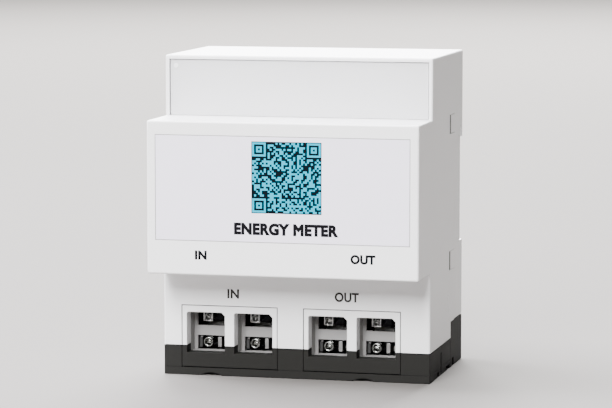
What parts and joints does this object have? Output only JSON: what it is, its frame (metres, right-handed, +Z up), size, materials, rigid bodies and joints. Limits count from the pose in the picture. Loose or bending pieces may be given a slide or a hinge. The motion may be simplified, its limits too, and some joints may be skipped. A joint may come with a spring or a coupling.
{
  "type": "smart electric meter",
  "caption": "Rail-mounted smart electric meter in a stepped white housing with a dark base, a hinged upper flap, a label panel and open wells over paired clamp terminals.",
  "frame": {"origin": "middle of the bounding box in plan, on the surface that the base stands on", "axes": "+X to the meter's right as seen from the front, +Y from the front towards the rail, +Z up"},
  "size_m": [0.081, 0.067, 0.0955],
  "materials": {
    "white_plastic": "fine matt moulded white thermoplastic",
    "label_film": "satin printed film, slightly cool white",
    "dark_plastic": "matt charcoal moulding",
    "black_plastic": "matt black glass-filled moulding",
    "grey_plastic": "matt light grey moulding",
    "zinc_steel": "bright zinc plate",
    "tinned_copper": "bright tin plate",
    "copper": "bare copper",
    "board_green": "solder mask",
    "terminal_green": "moulded",
    "core_steel": "varnished laminations",
    "capacitor_sleeve": "shrink sleeve",
    "can_metal": "tinned steel can"
  },
  "bodies": {
    "housing": {"backup_battery": "can_metal", "board_screw_lower_left": "zinc_steel", "board_screw_lower_right": "zinc_steel", "board_screw_upper_left": "zinc_steel", "board_screw_upper_right": "zinc_steel", "bottom_skirt": "dark_plastic", "busbar_in_left": "tinned_copper", "busbar_in_right": "tinned_copper", "busbar_out_left": "tinned_copper", "busbar_out_right": "tinned_copper", "comm_board": "board_green", "comm_terminal_block": "terminal_green", "compartment_tray": "grey_plastic", "current_shunt": "copper", "front_cover": "white_plastic", "label_plate": "label_film", "main_board": "board_green", "measuring_chip": "black_plastic", "neutral_link": "copper", "radio_module": "can_metal", "rear_base": "white_plastic", "rear_foot": "dark_plastic", "supply_capacitor": "capacitor_sleeve", "supply_transformer": "core_steel", "terminal_block_in": "black_plastic", "terminal_block_out": "black_plastic", "terminal_liner_in": "grey_plastic", "terminal_liner_out": "grey_plastic"},
    "flap": {"upper_flap": "white_plastic"},
    "clip": {"rail_clip": "grey_plastic"},
    "terminal_cover_in": {"terminal_frame_in": "white_plastic", "frame_foot_in": "dark_plastic"},
    "terminal_cover_out": {"terminal_frame_out": "white_plastic", "frame_foot_out": "dark_plastic"},
    "upper_screw_in_left_body": {"upper_screw_in_left": "zinc_steel"},
    "upper_cage_in_left_body": {"upper_cage_in_left": "zinc_steel"},
    "lower_screw_in_left_body": {"lower_screw_in_left": "zinc_steel"},
    "lower_cage_in_left_body": {"lower_cage_in_left": "zinc_steel"},
    "tap_screw_in_left_body": {"tap_screw_in_left": "zinc_steel"},
    "upper_screw_in_right_body": {"upper_screw_in_right": "zinc_steel"},
    "upper_cage_in_right_body": {"upper_cage_in_right": "zinc_steel"},
    "lower_screw_in_right_body": {"lower_screw_in_right": "zinc_steel"},
    "lower_cage_in_right_body": {"lower_cage_in_right": "zinc_steel"},
    "tap_screw_in_right_body": {"tap_screw_in_right": "zinc_steel"},
    "upper_screw_out_left_body": {"upper_screw_out_left": "zinc_steel"},
    "upper_cage_out_left_body": {"upper_cage_out_left": "zinc_steel"},
    "lower_screw_out_left_body": {"lower_screw_out_left": "zinc_steel"},
    "lower_cage_out_left_body": {"lower_cage_out_left": "zinc_steel"},
    "tap_screw_out_left_body": {"tap_screw_out_left": "zinc_steel"},
    "upper_screw_out_right_body": {"upper_screw_out_right": "zinc_steel"},
    "upper_cage_out_right_body": {"upper_cage_out_right": "zinc_steel"},
    "lower_screw_out_right_body": {"lower_screw_out_right": "zinc_steel"},
    "lower_cage_out_right_body": {"lower_cage_out_right": "zinc_steel"},
    "tap_screw_out_right_body": {"tap_screw_out_right": "zinc_steel"},
    "comm_screw_1_body": {"comm_screw_1": "zinc_steel"},
    "comm_screw_2_body": {"comm_screw_2": "zinc_steel"},
    "comm_screw_3_body": {"comm_screw_3": "zinc_steel"},
    "comm_screw_4_body": {"comm_screw_4": "zinc_steel"}
  },
  "joints": [
    {"name": "flap_hinge", "type": "hinge", "parent": "housing", "child": "flap", "pos_m": [0, -0.0121, 0.0786], "axis": [1, 0, 0], "range_deg": [0, 90]},
    {"name": "clip_slide", "type": "slide", "parent": "housing", "child": "clip", "axis": [0, 0, -1], "range_m": [0, 0.004], "stiffness_N_per_m": 1500, "springref_m": -0.001},
    {"name": "terminal_cover_in_pull", "type": "slide", "parent": "housing", "child": "terminal_cover_in", "axis": [0, -1, 0], "range_m": [0, 0.015]},
    {"name": "terminal_cover_out_pull", "type": "slide", "parent": "housing", "child": "terminal_cover_out", "axis": [0, -1, 0], "range_m": [0, 0.015]},
    {"name": "upper_screw_in_left_turn", "type": "hinge", "parent": "housing", "child": "upper_screw_in_left_body", "pos_m": [-0.02955, -0.0065, 0.0162], "axis": [0, 1, 0], "range_deg": [0, 2880]},
    {"name": "upper_cage_in_left_slide", "type": "slide", "parent": "housing", "child": "upper_cage_in_left_body", "axis": [0, -1, 0], "range_m": [0, 0.004]},
    {"name": "lower_screw_in_left_turn", "type": "hinge", "parent": "housing", "child": "lower_screw_in_left_body", "pos_m": [-0.02955, -0.0065, 0.0086], "axis": [0, 1, 0], "range_deg": [0, 2880]},
    {"name": "lower_cage_in_left_slide", "type": "slide", "parent": "housing", "child": "lower_cage_in_left_body", "axis": [0, -1, 0], "range_m": [0, 0.004]},
    {"name": "tap_screw_in_left_turn", "type": "hinge", "parent": "housing", "child": "tap_screw_in_left_body", "pos_m": [-0.02305, -0.0057, 0.0086], "axis": [0, 1, 0], "range_deg": [0, 1080]},
    {"name": "upper_screw_in_right_turn", "type": "hinge", "parent": "housing", "child": "upper_screw_in_right_body", "pos_m": [-0.01495, -0.0065, 0.0162], "axis": [0, 1, 0], "range_deg": [0, 2880]},
    {"name": "upper_cage_in_right_slide", "type": "slide", "parent": "housing", "child": "upper_cage_in_right_body", "axis": [0, -1, 0], "range_m": [0, 0.004]},
    {"name": "lower_screw_in_right_turn", "type": "hinge", "parent": "housing", "child": "lower_screw_in_right_body", "pos_m": [-0.01495, -0.0065, 0.0086], "axis": [0, 1, 0], "range_deg": [0, 2880]},
    {"name": "lower_cage_in_right_slide", "type": "slide", "parent": "housing", "child": "lower_cage_in_right_body", "axis": [0, -1, 0], "range_m": [0, 0.004]},
    {"name": "tap_screw_in_right_turn", "type": "hinge", "parent": "housing", "child": "tap_screw_in_right_body", "pos_m": [-0.00845, -0.0057, 0.0086], "axis": [0, 1, 0], "range_deg": [0, 1080]},
    {"name": "upper_screw_out_left_turn", "type": "hinge", "parent": "housing", "child": "upper_screw_out_left_body", "pos_m": [0.00775, -0.0065, 0.0162], "axis": [0, 1, 0], "range_deg": [0, 2880]},
    {"name": "upper_cage_out_left_slide", "type": "slide", "parent": "housing", "child": "upper_cage_out_left_body", "axis": [0, -1, 0], "range_m": [0, 0.004]},
    {"name": "lower_screw_out_left_turn", "type": "hinge", "parent": "housing", "child": "lower_screw_out_left_body", "pos_m": [0.00775, -0.0065, 0.0086], "axis": [0, 1, 0], "range_deg": [0, 2880]},
    {"name": "lower_cage_out_left_slide", "type": "slide", "parent": "housing", "child": "lower_cage_out_left_body", "axis": [0, -1, 0], "range_m": [0, 0.004]},
    {"name": "tap_screw_out_left_turn", "type": "hinge", "parent": "housing", "child": "tap_screw_out_left_body", "pos_m": [0.01425, -0.0057, 0.0086], "axis": [0, 1, 0], "range_deg": [0, 1080]},
    {"name": "upper_screw_out_right_turn", "type": "hinge", "parent": "housing", "child": "upper_screw_out_right_body", "pos_m": [0.02235, -0.0065, 0.0162], "axis": [0, 1, 0], "range_deg": [0, 2880]},
    {"name": "upper_cage_out_right_slide", "type": "slide", "parent": "housing", "child": "upper_cage_out_right_body", "axis": [0, -1, 0], "range_m": [0, 0.004]},
    {"name": "lower_screw_out_right_turn", "type": "hinge", "parent": "housing", "child": "lower_screw_out_right_body", "pos_m": [0.02235, -0.0065, 0.0086], "axis": [0, 1, 0], "range_deg": [0, 2880]},
    {"name": "lower_cage_out_right_slide", "type": "slide", "parent": "housing", "child": "lower_cage_out_right_body", "axis": [0, -1, 0], "range_m": [0, 0.004]},
    {"name": "tap_screw_out_right_turn", "type": "hinge", "parent": "housing", "child": "tap_screw_out_right_body", "pos_m": [0.02885, -0.0057, 0.0086], "axis": [0, 1, 0], "range_deg": [0, 1080]},
    {"name": "comm_screw_1_turn", "type": "hinge", "parent": "housing", "child": "comm_screw_1_body", "pos_m": [-0.0075, -0.0057, 0.0857], "axis": [0, 1, 0], "range_deg": [0, 1800]},
    {"name": "comm_screw_2_turn", "type": "hinge", "parent": "housing", "child": "comm_screw_2_body", "pos_m": [-0.0025, -0.0057, 0.0857], "axis": [0, 1, 0], "range_deg": [0, 1800]},
    {"name": "comm_screw_3_turn", "type": "hinge", "parent": "housing", "child": "comm_screw_3_body", "pos_m": [0.0025, -0.0057, 0.0857], "axis": [0, 1, 0], "range_deg": [0, 1800]},
    {"name": "comm_screw_4_turn", "type": "hinge", "parent": "housing", "child": "comm_screw_4_body", "pos_m": [0.0075, -0.0057, 0.0857], "axis": [0, 1, 0], "range_deg": [0, 1800]}
  ],
  "couplings": [
    {"joint": "upper_screw_in_left_turn", "follows": "upper_cage_in_left_slide", "rad_per_m": 12566},
    {"joint": "lower_screw_in_left_turn", "follows": "lower_cage_in_left_slide", "rad_per_m": 12566},
    {"joint": "upper_screw_in_right_turn", "follows": "upper_cage_in_right_slide", "rad_per_m": 12566},
    {"joint": "lower_screw_in_right_turn", "follows": "lower_cage_in_right_slide", "rad_per_m": 12566},
    {"joint": "upper_screw_out_left_turn", "follows": "upper_cage_out_left_slide", "rad_per_m": 12566},
    {"joint": "lower_screw_out_left_turn", "follows": "lower_cage_out_left_slide", "rad_per_m": 12566},
    {"joint": "upper_screw_out_right_turn", "follows": "upper_cage_out_right_slide", "rad_per_m": 12566},
    {"joint": "lower_screw_out_right_turn", "follows": "lower_cage_out_right_slide", "rad_per_m": 12566}
  ]
}
